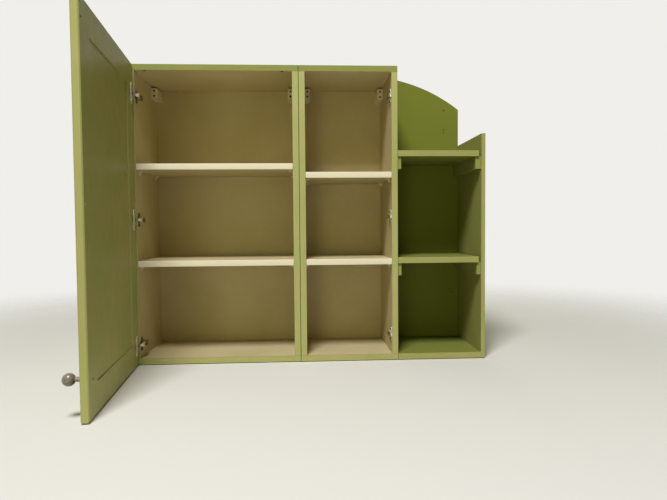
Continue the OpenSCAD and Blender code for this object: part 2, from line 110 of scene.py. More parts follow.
class Shader:
    """One material, with short calls for the nodes that it uses."""

    def __init__(self, name):
        self.material = bpy.data.materials.new(name)
        self.material.use_nodes = True
        self.tree = self.material.node_tree
        self.tree.nodes.clear()
        self.out = self.add("ShaderNodeOutputMaterial")
        self.bsdf = self.add("ShaderNodeBsdfPrincipled")
        self.join(self.bsdf.outputs[0], self.out.inputs[0])
        self.coords = self.add("ShaderNodeTexCoord").outputs["Object"]

    def add(self, kind, **settings):
        node = self.tree.nodes.new(kind)
        for key, value in settings.items():
            setattr(node, key, value)
        return node

    def join(self, source, target):
        if hasattr(source, "is_linked") or hasattr(source, "links"):
            self.tree.links.new(source, target)
        else:
            target.default_value = source

    def stretched(self, scale):
        node = self.add("ShaderNodeMapping")
        node.inputs["Scale"].default_value = scale
        self.join(self.coords, node.inputs["Vector"])
        return node.outputs[0]

    def noise(self, scale, detail=3.0, rough=0.55, vector=None, distort=0.0):
        node = self.add("ShaderNodeTexNoise")
        self.join(self.coords if vector is None else vector, node.inputs["Vector"])
        node.inputs["Scale"].default_value = scale
        node.inputs["Detail"].default_value = detail
        node.inputs["Roughness"].default_value = rough
        node.inputs["Distortion"].default_value = distort
        return node.outputs["Fac"]

    def cells(self, scale, vector=None, feature="F1", output="Distance"):
        node = self.add("ShaderNodeTexVoronoi", feature=feature)
        self.join(self.coords if vector is None else vector, node.inputs["Vector"])
        node.inputs["Scale"].default_value = scale
        return node.outputs[output]

    def math(self, kind, first, second=None, third=None, clamp=False):
        node = self.add("ShaderNodeMath", operation=kind, use_clamp=clamp)
        for socket, value in zip(node.inputs, (first, second, third)):
            if value is not None:
                self.join(value, socket)
        return node.outputs[0]

    def spread(self, value, low, high, to_low=0.0, to_high=1.0):
        """Maps low..high to to_low..to_high with soft ends."""
        node = self.add("ShaderNodeMapRange", interpolation_type="SMOOTHSTEP")
        self.join(value, node.inputs["Value"])
        node.inputs["From Min"].default_value = low
        node.inputs["From Max"].default_value = high
        node.inputs["To Min"].default_value = to_low
        node.inputs["To Max"].default_value = to_high
        return node.outputs["Result"]

    def blend(self, share, first, second, kind="MIX"):
        node = self.add("ShaderNodeMix", data_type="RGBA", blend_type=kind)
        self.join(share, node.inputs["Factor"])
        self.join(first, node.inputs[6])
        self.join(second, node.inputs[7])
        return node.outputs[2]

    def lerp(self, share, first, second):
        node = self.add("ShaderNodeMix", data_type="FLOAT")
        self.join(share, node.inputs[0])
        self.join(first, node.inputs[2])
        self.join(second, node.inputs[3])
        return node.outputs[0]

    def axes(self):
        node = self.add("ShaderNodeSeparateXYZ")
        self.join(self.coords, node.inputs[0])
        return node.outputs

    def near_edge(self, radius, samples=6):
        """About 1 on outer edges and 0 on flats, from a rounded normal."""
        bevel = self.add("ShaderNodeBevel", samples=samples)
        bevel.inputs["Radius"].default_value = radius
        flat = self.add("ShaderNodeNewGeometry").outputs["Normal"]
        dot = self.add("ShaderNodeVectorMath", operation="DOT_PRODUCT")
        self.join(bevel.outputs[0], dot.inputs[0])
        self.join(flat, dot.inputs[1])
        return self.math("SUBTRACT", 1.0, dot.outputs["Value"], clamp=True)

    def crevice(self, distance, samples=6):
        """About 1 far inside inner corners and 0 in the open."""
        node = self.add("ShaderNodeAmbientOcclusion", samples=samples, only_local=False)
        node.inputs["Distance"].default_value = distance
        return self.math("SUBTRACT", 1.0, node.outputs["AO"], clamp=True)

    def bump(self, height, strength, distance, normal=None):
        node = self.add("ShaderNodeBump")
        node.inputs["Strength"].default_value = strength
        node.inputs["Distance"].default_value = distance
        self.join(height, node.inputs["Height"])
        if normal is not None:
            self.join(normal, node.inputs["Normal"])
        return node.outputs[0]

    def soft_normal(self, radius, samples=4):
        bevel = self.add("ShaderNodeBevel", samples=samples)
        bevel.inputs["Radius"].default_value = radius
        return bevel.outputs[0]

    def set(self, **values):
        for key, value in values.items():
            self.join(value, self.bsdf.inputs[key.replace("_", " ")])
        return self.material


LONG = {"x": (3.0, 150.0, 150.0), "y": (150.0, 3.0, 150.0), "z": (150.0, 150.0, 3.0)}


def paint_layer(shader, along, shade_share=0.0):
    """Satin paint: colour, roughness and height; the third argument is the share of painted shade."""
    strokes = shader.noise(1.0, 3.0, 0.5, shader.stretched(LONG[along]))
    broad = shader.noise(3.2, 2.0, 0.5)
    drift = shader.noise(7.0, 2.0, 0.5, shader.stretched((1.0, 1.0, 1.6)))
    patchy = shader.noise(19.0, 4.0, 0.6)
    colour = shader.blend(shader.spread(drift, 0.38, 0.66, 0.0, 0.6), PAINT, PAINT_FRESH)
    colour = shader.blend(shader.spread(broad, 0.35, 0.75, 0.0, 0.3), colour, PAINT_DEEP)
    colour = shader.blend(shader.spread(patchy, 0.5, 0.8, 0.0, 0.2), colour, PAINT_DEEP)
    colour = shader.blend(shader.spread(strokes, 0.45, 0.75, 0.0, 0.05), colour, PAINT_DIRT_AND_SHADE)
    # Painted shade: the given share of the paint turns to the shaded green.
    colour = shader.blend(shade_share, colour, PAINTED_SHADE_GREEN)
    # Thin paint and painted highlight: outer edges turn lighter in patches.
    thin_and_highlight = shader.math("MULTIPLY", shader.spread(shader.near_edge(1.8 * MM), 0.03, 0.25),
                       shader.spread(patchy, 0.35, 0.65, 0.05, 0.22))
    colour = shader.blend(thin_and_highlight, colour, PAINT_THIN_AND_HIGHLIGHT)
    # Dirt and painted shade: inner corners turn dark olive.
    closed = shader.crevice(9 * MM)
    colour = shader.blend(shader.spread(closed, 0.4, 0.9, 0.0, 0.6), colour, PAINT_DIRT_AND_SHADE)
    # Painted shade: the depths of holes turn near black.
    colour = shader.blend(shader.spread(closed, 0.9, 0.98, 0.0, 0.95), colour, HOLE_PAINTED_SHADE)
    rough = shader.spread(patchy, 0.3, 0.75, 0.36, 0.46)
    grain = shader.noise(420.0, 2.0, 0.5)
    height = shader.math("ADD", shader.math("MULTIPLY", strokes, 0.4),
                         shader.math("MULTIPLY", grain, 0.2))
    return colour, rough, height


def cream_layer(shader, colour, old):
    """Coated board that has yellowed a little: colour, roughness and height."""
    cloud = shader.noise(5.0, 3.0, 0.55)
    fine = shader.noise(60.0, 3.0, 0.6)
    tone = shader.blend(shader.spread(cloud, 0.3, 0.8, 0.0, 0.4), colour, old)
    tone = shader.blend(shader.spread(fine, 0.55, 0.85, 0.0, 0.2), tone, old)
    # Grime and painted shade: inner corners of the cream board turn darker.
    closed = shader.crevice(9 * MM)
    tone = shader.blend(shader.spread(closed, 0.5, 0.9, 0.0, 0.35), tone, CREAM_GRIME_AND_SHADE)
    rough = shader.spread(fine, 0.3, 0.8, 0.38, 0.5)
    pores = shader.noise(900.0, 2.0, 0.5)
    return tone, rough, pores


def chipboard_layer(shader):
    """The sawn edge of a chipboard: pressed flakes of several tones."""
    flakes = shader.cells(420.0, shader.stretched((1.0, 1.0, 0.55)), output="Color")
    single = shader.add("ShaderNodeSeparateColor")
    shader.join(flakes, single.inputs[0])
    tone = shader.blend(shader.spread(single.outputs[0], 0.1, 0.95), CHIP_RAW, CHIP_DARK)
    return tone, 0.85, shader.cells(420.0, shader.stretched((1.0, 1.0, 0.55)))


def worn_edges(shader):
    """The share rubbed off outer edges, in short stretches."""
    edge = shader.spread(shader.near_edge(1.6 * MM), 0.06, 0.3)
    stretches = shader.spread(shader.noise(46.0, 5.0, 0.65), 0.58, 0.68)
    return shader.math("MULTIPLY", edge, stretches, clamp=True)


def green_paint(name, along, shade_share=0.0, front_shade_share=0.0):
    """Painted wood; the front edges take the fourth argument as their share of painted shade, and all
    else takes the third.
    """
    shader = Shader(name)
    y = shader.axes()[1]
    share = shader.spread(y, cad_front + 0.3 * MM, cad_front + 1.5 * MM, front_shade_share, shade_share)
    colour, rough, height = paint_layer(shader, along, share)
    colour = shader.blend(worn_edges(shader), colour, WORN_PAINT)
    normal = shader.bump(height, 0.2, 0.4 * MM, shader.soft_normal(0.9 * MM))
    return shader.set(Base_Color=colour, Roughness=rough, Normal=normal,
                      IOR=1.45, Specular_IOR_Level=0.07)


def carcass(name, along, low, high):
    """A unit's board: cream on faces inside low..high, raw at the rear, green elsewhere, with painted
    shade on the top board.
    """
    shader = Shader(name)
    x, y, z = shader.axes()
    wobble = shader.math("MULTIPLY", shader.math("SUBTRACT", shader.noise(34.0, 3.0), 0.5), 1.6 * MM)
    slack = 0.35 * MM

    def above(value, limit, soft=0.1 * MM):
        return shader.spread(value, limit - soft, limit + soft)

    def below(value, limit, soft=0.1 * MM):
        return shader.spread(value, limit - soft, limit + soft, 1.0, 0.0)

    front = above(shader.math("ADD", y, wobble), low[1] + 1.2 * MM, 0.25 * MM)
    inside = front
    for part in (above(x, low[0] - slack), below(x, high[0] + slack),
                 above(z, low[2] - slack), below(z, high[2] + slack)):
        inside = shader.math("MULTIPLY", inside, part)
    rear = above(y, -0.3 * MM)
    # Painted shade: the top board's paint takes the shaded green at a share of 0.7.
    top_painted_shade = above(z, high[2], 1.0 * MM)
    paint, paint_rough, strokes = paint_layer(shader, along, shader.math("MULTIPLY", top_painted_shade, 0.7))
    for level in (low[2], high[2]):
        apart = shader.math("ABSOLUTE", shader.math("SUBTRACT", z, level))
        paint = shader.blend(shader.spread(apart, 0.2 * MM, 0.9 * MM, 0.45, 0.0), paint, PAINT_DIRT_AND_SHADE)
    cream, cream_rough, pores = cream_layer(shader, CREAM, CREAM_OLD)
    raw, raw_rough, flakes = chipboard_layer(shader)
    colour = shader.blend(rear, shader.blend(inside, paint, cream), raw)
    rough = shader.lerp(rear, shader.lerp(inside, paint_rough, cream_rough), raw_rough)
    coated = shader.lerp(inside, strokes, shader.math("MULTIPLY", pores, 0.1))
    height = shader.lerp(rear, coated, flakes)
    colour = shader.blend(worn_edges(shader), colour, WORN_EDGE)
    normal = shader.bump(height, 0.2, 0.4 * MM, shader.soft_normal(1.0 * MM))
    return shader.set(Base_Color=colour, Roughness=rough, Normal=normal,
                      IOR=1.45, Specular_IOR_Level=0.18)


def cream_board(name, front_y=None):
    """A shelf: cream faces, and a brighter strip on the front edge."""
    shader = Shader(name)
    tone, rough, pores = cream_layer(shader, CREAM, CREAM_OLD)
    if front_y is not None:
        y = shader.axes()[1]
        strip = shader.spread(y, front_y + 0.4 * MM, front_y + 0.7 * MM, 1.0, 0.0)
        tone = shader.blend(strip, tone, CREAM_EDGE)
    normal = shader.bump(pores, 0.08, 0.2 * MM, shader.soft_normal(0.9 * MM))
    return shader.set(Base_Color=tone, Roughness=rough, Normal=normal,
                      IOR=1.45, Specular_IOR_Level=0.25)


def plastic(name, colour):
    shader = Shader(name)
    tone = shader.blend(shader.spread(shader.noise(30.0), 0.35, 0.8, 0.0, 0.35), colour, CREAM_OLD)
    # Grime and painted shade: inner corners of the plastic turn darker.
    closed = shader.crevice(7 * MM)
    tone = shader.blend(shader.spread(closed, 0.4, 0.85, 0.0, 0.55), tone, PLASTIC_GRIME_AND_SHADE)
    # Painted shade: the depths of holes turn near black.
    tone = shader.blend(shader.spread(closed, 0.82, 0.93, 0.0, 0.97), tone, HOLE_PAINTED_SHADE)
    normal = shader.bump(shader.noise(1500.0, 2.0), 0.06, 0.1 * MM, shader.soft_normal(0.6 * MM))
    return shader.set(Base_Color=tone, Roughness=shader.spread(shader.noise(90.0), 0.3, 0.8, 0.36, 0.5),
                      Normal=normal, IOR=1.47, Specular_IOR_Level=0.35)


def steel(name, colour, dull, metal=1.0, shadows=(), dirt_and_shade=0.93):
    """Plated steel with dulled blotches; each (axis, start, end) paints shadow on it, dark brown
    towards end.

    The last argument is the share of dirt and painted shade in inner corners.
    """
    shader = Shader(name)
    blotch = shader.noise(85.0, 5.0, 0.65)
    tone = shader.blend(shader.spread(blotch, 0.42, 0.75, 0.0, 0.6), colour, dull)
    for axis, start, end in shadows:
        share = shader.spread(shader.axes()[axis], min(start, end), max(start, end),
                              0.0 if start < end else 0.88, 0.88 if start < end else 0.0)
        tone = shader.blend(share, tone, STEEL_SHADOW)
    # Dirt and painted shade: inner corners turn dark brown.
    closed = shader.crevice(8 * MM)
    tone = shader.blend(shader.spread(closed, 0.3, 0.85, 0.0, dirt_and_shade), tone, STEEL_GRIME_AND_SHADE)
    # Painted highlight: outer edges lighten towards a pale glint.
    bright = shader.spread(shader.near_edge(0.5 * MM), 0.08, 0.35, 0.0, 0.45)
    tone = shader.blend(bright, tone, STEEL_GLINT)
    normal = shader.bump(shader.noise(700.0, 3.0), 0.08, 0.1 * MM, shader.soft_normal(0.35 * MM))
    return shader.set(Base_Color=tone, Metallic=metal, Normal=normal,
                      Roughness=shader.spread(blotch, 0.3, 0.8, 0.26, 0.44))


def knob_finish(name):
    shader = Shader(name)
    grain = shader.noise(1.0, 5.0, 0.6, shader.stretched((60.0, 420.0, 420.0)))
    tone = shader.blend(shader.spread(grain, 0.35, 0.7), srgb(132, 120, 104), srgb(92, 80, 66))
    smudge = shader.noise(120.0, 4.0, 0.6)
    tone = shader.blend(shader.spread(smudge, 0.5, 0.8, 0.0, 0.4), tone, srgb(70, 60, 48))
    normal = shader.bump(grain, 0.12, 0.2 * MM, shader.soft_normal(0.5 * MM))
    return shader.set(Base_Color=tone, Normal=normal, IOR=1.5, Coat_Weight=0.6, Coat_Roughness=0.12,
                      Roughness=shader.spread(smudge, 0.3, 0.8, 0.3, 0.48))


# Materials on the solids

def dress(names, material):
    for name in names:
        mesh = nodes[name].data
        mesh.materials.clear()
        mesh.materials.append(material)


def corners(*names):
    boxes = [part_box(name) for name in names]
    low = Vector([min(b[0][i] for b in boxes) for i in range(3)])
    high = Vector([max(b[1][i] for b in boxes) for i in range(3)])
    return low, high


board = 18 * MM
for unit in ("left_unit", "middle_unit"):
    parts = [unit + end for end in ("_left_side", "_right_side", "_top", "_bottom")]
    low, high = corners(*parts)
    inner_low = Vector((low.x + board, low.y, low.z + board))
    inner_high = Vector((high.x - board, high.y, high.z - board))
    upright = carcass(unit + "_upright_boards", "z", inner_low, inner_high)
    level = carcass(unit + "_level_boards", "x", inner_low, inner_high)
    dress(parts[:2], upright)
    dress(parts[2:], level)
    shelf_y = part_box(unit + "_upper_shelf")[0].y
    dress([unit + "_upper_shelf", unit + "_lower_shelf"], cream_board(unit + "_shelf_board", shelf_y))
dress(["left_unit_back", "middle_unit_back"], cream_board("back_panel_board"))

upright_paint = green_paint("green_paint_upright", "z")
# Painted shade: the bay's shelves, bottom, back board, lining and cleats take the shaded green at the
# shares given, the back board in full.
level_paint = green_paint("green_paint_level", "x", 0.85, 0.2)
deep_paint = green_paint("green_paint_deep", "y")
recess_paint = green_paint("green_paint_recess", "z", 1.0, 0.2)
lining_paint = green_paint("green_paint_lining", "z", 0.5, 0.2)
cleat_paint = green_paint("green_paint_cleats", "y", 0.5, 0.2)
dress(["door_hinge_stile", "door_lock_stile", "door_panel"], upright_paint)
dress(["bay_back_board"], recess_paint)
dress(["bay_side_lining"], lining_paint)
dress(["bay_upper_shelf", "bay_lower_shelf", "bay_bottom_board"], level_paint)
dress(["door_top_rail", "door_bottom_rail"], deep_paint)
dress(["bay_left_cleats", "bay_right_cleats"], cleat_paint)

cover_plastic = plastic("hanger_plastic", srgb(232, 222, 192))
dress(["left_unit_shelf_supports", "middle_unit_shelf_supports",
       "left_unit_hanger_covers", "middle_unit_hanger_covers"], cover_plastic)
levels = ("_lower", "_middle", "_upper")
left_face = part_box("left_unit_left_side")[1].x
middle_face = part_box("middle_unit_right_side")[0].x
# Painted shadow: the hinge arms turn dark brown towards the rear and near the side board.
rear_shadow = (1, cad_front + 15 * MM, cad_front + 26 * MM)
foot_shadow = (0, left_face + 7 * MM, left_face + 3 * MM)
# Painted reflection and shadow: the arms and plates are pale, little metallic copies of the nickel
# steel so that they read bright as if reflecting light, with painted shadow towards the rear of the
# arms and on the plates' raised parts.
arm_steel_painted_light = steel("nickel_arms_painted_reflection_and_shadow", srgb(228, 216, 180), srgb(176, 160, 116), 0.5,
                  (rear_shadow, foot_shadow))
plate_steel_painted_light = steel("nickel_plates_painted_reflection_and_shadow", srgb(238, 230, 198), srgb(206, 194, 150), 0.2,
                    ((0, middle_face - 3 * MM, middle_face - 5 * MM),))
cup_steel = steel("nickel_plated_cups", srgb(176, 164, 120), srgb(120, 108, 70), 0.8)
# Painted highlight: the flange rims are a near-white, barely metallic copy of the nickel steel, with no
# grime or shade in corners.
rim_steel_painted_highlight = steel("nickel_rims_painted_highlight", srgb(250, 242, 208), srgb(238, 228, 188), 0.1, dirt_and_shade=0.0)
screw_steel = steel("zinc_plated_screws", srgb(104, 92, 62), srgb(62, 52, 30))
dress(["hinge_arm" + end for end in levels], arm_steel_painted_light)
dress(["hinge_cup" + end for end in levels], cup_steel)
dress(["spare_hinge_plate" + end for end in levels], plate_steel_painted_light)
dress(["hanging_hooks"], steel("zinc_plated_hooks", srgb(186, 184, 174), srgb(130, 126, 112)))
knob_wood = knob_finish("knob_waxed_wood")
dress(["door_knob"], knob_wood)


# Small pieces

X_AXIS, Y_AXIS, Z_AXIS = Vector((1, 0, 0)), Vector((0, 1, 0)), Vector((0, 0, 1))
OPEN = math.radians(84.7)
PIN = Vector(frame["record"]["behaviour"]["joints"][0]["pos_m"])
PIN_IN, PIN_DEEP = 7.4 * MM, 7.0 * MM
DOOR_REVEAL = 1.5 * MM
DOOR_U = Vector((math.cos(OPEN), -math.sin(OPEN), 0))
DOOR_V = Vector((math.sin(OPEN), math.cos(OPEN), 0))


def on_door(along, off, height):
    """A place on the open door: along from its hinge edge, off its inner face, up from its foot."""
    base = Vector((PIN.x, PIN.y, cad_low.z + DOOR_REVEAL + height))
    return base + (along - PIN_IN) * DOOR_U + (off + PIN_DEEP) * DOOR_V


def loops_piece(name, loops, body, material, ring=False, sharp=40):
    """A closed skin over successive loops of points, capped at both ends unless it is a ring."""
    form = bmesh.new()
    rows = [[form.verts.new(point) for point in loop] for loop in loops]
    count = len(rows[0])
    pairs = list(zip(rows, rows[1:])) + ([(rows[-1], rows[0])] if ring else [])
    for first, second in pairs:
        for i in range(count):
            j = (i + 1) % count
            form.faces.new((first[i], first[j], second[j], second[i]))
    if not ring:
        form.faces.new(rows[0])
        form.faces.new(rows[-1])
    bmesh.ops.recalc_face_normals(form, faces=form.faces)
    for face in form.faces:
        face.smooth = True
    mesh = bpy.data.meshes.new(name)
    form.to_mesh(mesh)
    form.free()
    mesh.set_sharp_from_angle(angle=math.radians(sharp))
    mesh.materials.append(material)
    piece = bpy.data.objects.new(name, mesh)
    scene.collection.objects.link(piece)
    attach(piece, body)
    return piece


def turned(profile, place, out, along, turns=32, press=None):
    """Loops of a turned form: profile is (radius, height) pairs, height measured along out."""
    side = out.cross(along)
    loops = []
    for radius, height in profile:
        loop = []
        for i in range(turns):
            angle = 2 * math.pi * i / turns
            a, b = radius * math.cos(angle), radius * math.sin(angle)
            dent = press(a, b) if press else 0.0
            loop.append(place + a * along + b * side + max(height - dent, -0.1 * MM) * out)
        loops.append(loop)
    return loops


HEAD_R, HEAD_H = 4.0 * MM, 2.2 * MM


def cross_recess(a, b):
    """Depth of a cross recess at a point of a screw head."""
    near, far = sorted((abs(a), abs(b)))
    across = min(max((0.55 * MM - near) / (0.2 * MM) + 0.5, 0.0), 1.0)
    length = min(max((2.0 * MM - far) / (0.3 * MM) + 0.5, 0.0), 1.0)
    return 1.1 * MM * across * length


def screw(name, place, out, along, body, material, size=1.0, recess=True):
    """A pan head that stands on place and faces out."""
    rings = 14
    profile = [(HEAD_R * size, -0.1 * MM)]
    for i in range(rings):
        share = math.cos(math.pi / 2 * i / rings)
        profile.append((HEAD_R * size * share, HEAD_H * size * math.sqrt(max(1 - share ** 6, 0.0))))
    profile.append((0.05 * MM, HEAD_H * size))
    press = cross_recess if recess else None
    return loops_piece(name, turned(profile, place, out, along, 48, press), body, material)


UNIT_H = 900 * MM
PLATE_SETBACK, WING_IN, WING_T, WING_GAP = 5 * MM, 13 * MM, 2 * MM, 32 * MM
CUP_CENTRE, FLANGE_T, FLANGE_GAP, FLANGE_R = 20.5 * MM, 1.2 * MM, 47 * MM, 7.5 * MM
ARM_RISE, ARM_BACK = 12 * MM, 30.5 * MM
left_heights = [60 * MM, UNIT_H / 2 - 12 * MM, UNIT_H - 92 * MM]
middle_heights = [77 * MM, UNIT_H / 2 - 7 * MM, UNIT_H - 87 * MM]
plate_y = cad_front + PLATE_SETBACK
for end, height in zip(levels, left_heights):
    z = cad_low.z + height
    for word, sign in (("low", -1), ("high", 1)):
        wing = Vector((left_face + WING_T, plate_y + WING_IN, z + sign * WING_GAP / 2))
        screw("plate_screw" + end + "_" + word, wing, X_AXIS, Y_AXIS,
              "cupboard", screw_steel)
        cup = on_door(CUP_CENTRE, FLANGE_T, height - DOOR_REVEAL + sign * FLANGE_GAP / 2)
        screw("cup_screw" + end + "_" + word, cup, DOOR_V, DOOR_U,
              "door", cup_steel)
    for word, back in (("front", WING_IN), ("rear", ARM_BACK)):
        top = Vector((left_face + ARM_RISE, plate_y + back, z))
        screw("arm_screw" + end + "_" + word, top, X_AXIS, Y_AXIS,
              "cupboard", screw_steel)
for end, height in zip(levels, middle_heights):
    for word, sign in (("low", -1), ("high", 1)):
        z = cad_low.z + height + sign * WING_GAP / 2
        wing = Vector((middle_face - WING_T, plate_y + WING_IN, z))
        screw("spare_screw" + end + "_" + word, wing, -X_AXIS, Y_AXIS,
              "cupboard", screw_steel)


def flange_bead(name, height):
    """The rolled rim round a hinge cup's flange, in near-white steel as a painted highlight."""
    wire_r = 0.9 * MM
    path = []
    for sign in (1, -1):
        for i in range(17):
            angle = math.pi * i / 16 + (0 if sign > 0 else math.pi)
            path.append((math.cos(angle), math.sin(angle), sign * FLANGE_GAP / 2))
    loops = []
    for out_u, out_z, shift in path:
        loop = []
        for k in range(12):
            turn = 2 * math.pi * k / 12
            reach = FLANGE_R - 0.5 * MM + wire_r * math.cos(turn)
            rise = 1.0 * MM + wire_r * math.sin(turn)
            up = height - DOOR_REVEAL + shift + out_z * reach
            loop.append(on_door(CUP_CENTRE + out_u * reach, rise, up))
        loops.append(loop)
    loops_piece(name, loops, "door", rim_steel_painted_highlight, ring=True)


for end, height in zip(levels, left_heights):
    flange_bead("flange_rim" + end, height)


def edge_strip(name, shelf):
    """The rounded strip along a shelf's front edge."""
    low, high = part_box(shelf)
    front, back, round_r = low.y - 1.3 * MM, low.y + 0.1 * MM, 0.9 * MM
    foot, top = low.z - 0.1 * MM, high.z + 0.1 * MM
    outline = [(back, foot)]
    for centre_z, start in ((foot + round_r, -math.pi / 2), (top - round_r, -math.pi)):
        for i in range(5):
            angle = start - math.pi / 2 * i / 4
            y = front + round_r + round_r * math.cos(angle)
            outline.append((y, centre_z + round_r * math.sin(angle)))
    outline.append((back, top))
    loops = [[Vector((x, y, z)) for y, z in outline] for x in (low.x, high.x)]
    loops_piece(name, loops, "cupboard", edge_cream)


edge_cream = cream_board("shelf_edge_strip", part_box("left_unit_upper_shelf")[1].y)
for unit in ("left_unit", "middle_unit"):
    for shelf in ("_upper_shelf", "_lower_shelf"):
        edge_strip(unit + shelf + "_edge", unit + shelf)


def dark_finish(name, colour, other, rough):
    shader = Shader(name)
    tone = shader.blend(shader.spread(shader.noise(240.0, 3.0), 0.35, 0.7), colour, other)
    return shader.set(Base_Color=tone, Roughness=rough, IOR=1.45, Specular_IOR_Level=0.1)


# Near-black finish for painted shade inside holes; the top holes' rims take it too.
hole_shade_finish = dark_finish("hole_painted_shade_dark", srgb(20, 16, 8), srgb(38, 30, 16), 0.8)


def hole_lining(name, mouth, inward, along, radius, depth):
    """A dark cup inside a small hole: painted shade."""
    wall = 0.3 * MM
    inner, outer = radius - wall, radius - 0.02 * MM
    profile = [(0.05 * MM, depth - wall), (inner, depth - wall), (inner, 0.15 * MM),
               (outer, 0.15 * MM), (outer, depth - 0.05 * MM), (0.05 * MM, depth - 0.05 * MM)]
    loops_piece(name, turned(profile, mouth, inward, along, 24), "cupboard", hole_shade_finish)


HANGER_W, HANGER_L, HANGER_DROP, HANGER_H = 18 * MM, 65 * MM, 24 * MM, 34 * MM
HANGER_HOLE_R, HANGER_HOLE_GAP, HANGER_HOLE_DEEP = 3.25 * MM, 17 * MM, 8 * MM
panel_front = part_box("left_unit_back")[0].y
# Painted shade: a dark cup lines each hanger cover's adjusting hole.
for unit in ("left_unit", "middle_unit"):
    low, high = corners(unit + "_left_side", unit + "_right_side")
    for side, x in (("left", low.x + board + HANGER_W / 2), ("right", high.x - board - HANGER_W / 2)):
        middle_z = high.z - HANGER_DROP - HANGER_H / 2
        for word, sign in (("low", -1), ("high", 1)):
            mouth = Vector((x, panel_front - HANGER_L, middle_z + sign * HANGER_HOLE_GAP / 2))
            hole_lining("_".join((unit, side, "hanger_hole", word)), mouth, Y_AXIS, X_AXIS,
                        HANGER_HOLE_R, HANGER_HOLE_DEEP)

TOP_HOLE_IN, TOP_HOLE_SETBACK = 30 * MM, 7 * MM
low, high = corners("left_unit_left_side", "left_unit_right_side")
for side, x in (("left", low.x + board + TOP_HOLE_IN), ("right", high.x - board - TOP_HOLE_IN)):
    mouth = Vector((x, cad_front + TOP_HOLE_SETBACK, high.z - board))
    hole_lining("left_unit_top_hole_" + side, mouth, Z_AXIS, X_AXIS, 2.5 * MM, 8 * MM)
    # A dark ring round the mouth of each top hole, in the same near-black finish as the painted shade
    # inside.
    rim = [(2.5 * MM, 0.6 * MM), (2.5 * MM, -0.15 * MM), (3.4 * MM, -0.3 * MM),
           (4.9 * MM, -0.1 * MM), (5.0 * MM, 0.6 * MM)]
    loops_piece("left_unit_top_hole_rim_" + side, turned(rim, mouth, Z_AXIS, X_AXIS, 24),
                "cupboard", hole_shade_finish, ring=True)


def joint_filler(name, left, right):
    """Paint that has closed the gap between two units, hollow and a little uneven along its front."""
    rows = 60
    loops = []
    for i in range(rows + 1):
        z = cad_low.z + 0.3 * MM + (UNIT_H - 0.6 * MM) * i / rows
        sunk = (1.1 + 0.5 * math.sin(i * 1.7) + 0.4 * random.uniform(-1, 1)) * MM
        front = cad_front + 0.4 * MM
        loops.append([Vector((left, cad_front + 9 * MM, z)), Vector((left, front, z)),
                      Vector(((left * 3 + right) / 4, front + sunk * 0.8, z)),
                      Vector(((left + right) / 2, front + sunk, z)),
                      Vector(((left + right * 3) / 4, front + sunk * 0.8, z)),
                      Vector((right, front, z)), Vector((right, cad_front + 9 * MM, z))])
    loops_piece(name, loops, "cupboard", filler_paint)


filler_paint = dark_finish("green_paint_filler", srgb(104, 108, 38), srgb(86, 90, 28), 0.5)
joint_filler("unit_joint_filler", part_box("left_unit_right_side")[1].x,
             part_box("middle_unit_left_side")[0].x)


def blob(name, place, out, along, size_a, size_b, rise, body, material, seed):
    """A low uneven lump or chip on a surface."""
    side = out.cross(along)
    draw = random.Random(seed)
    turns = 18
    wobble = [1 + 0.22 * draw.uniform(-1, 1) for i in range(turns)]
    loops = []
    for share, height in ((1.0, -0.1), (0.96, 0.25), (0.8, 0.7), (0.5, 0.95), (0.04, 1.0)):
        loop = []
        for i in range(turns):
            angle = 2 * math.pi * i / turns
            a = size_a * share * wobble[i] * math.cos(angle)
            b = size_b * share * wobble[i] * math.sin(angle)
            loop.append(place + a * along + b * side + rise * height * out)
        loops.append(loop)
    loops_piece(name, loops, body, material, sharp=60)


chip_dark = dark_finish("old_chip_dark", srgb(48, 48, 18), srgb(70, 66, 30), 0.7)
chip_pale = dark_finish("old_filler_pale", srgb(206, 200, 156), srgb(180, 174, 126), 0.6)
blob("door_mark_upper", on_door(489.5 * MM, 0, 850 * MM), DOOR_V, DOOR_U,
     4.5 * MM, 2.4 * MM, 0.3 * MM, "door", chip_dark, 3)
blob("door_mark_middle", on_door(485.5 * MM, 0, 463 * MM), DOOR_V, DOOR_U,
     4.2 * MM, 2.2 * MM, 0.9 * MM, "door", chip_pale, 5)
blob("door_mark_lower", on_door(494.5 * MM, 0, 49 * MM), DOOR_V, DOOR_U,
     3.2 * MM, 2.0 * MM, 0.7 * MM, "door", chip_pale, 8)
back_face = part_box("bay_back_board")[0].y
for word, x, z, seed in (("low", 529.7, -274.4, 11), ("high", 521.5, -262.0, 13)):
    blob("bay_back_mark_" + word, Vector((x * MM, back_face, z * MM)), -Y_AXIS, X_AXIS,
         2.3 * MM, 1.9 * MM, 0.4 * MM, "cupboard", chip_dark, seed)

HALF_CLEAT_H, CLEAT_T, UPPER_RIGHT_CLEAT_T = 19 * MM, 12 * MM, 17 * MM
CLEAT_SCREW_Y = (("front", -215 * MM), ("rear", -75 * MM))
for node, spots, sign in (("bay_right_cleats", "right", -1), ("bay_left_cleats", "left", 1)):
    for word, top in (("upper", "bay_upper_shelf"), ("lower", "bay_lower_shelf")):
        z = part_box(top)[0].z - HALF_CLEAT_H
        if sign > 0:
            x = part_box(node)[0].x + CLEAT_T
        else:
            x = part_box(node)[1].x - (UPPER_RIGHT_CLEAT_T if word == "upper" else CLEAT_T)
        for place, y in CLEAT_SCREW_Y:
            screw("_".join(("cleat_screw", spots, word, place)), Vector((x, y, z)),
                  sign * X_AXIS, Y_AXIS, "cupboard", cleat_paint, 0.9, recess=False)


# Camera, light and floor

CAMERA_AT = Vector((3.65 * MM, -1950.8 * MM, -39.6 * MM))
YAW, PITCH, ROLL = 0.053, -0.041, -0.008
FOCAL_PX, WIDTH_PX = 547.0, 667.0

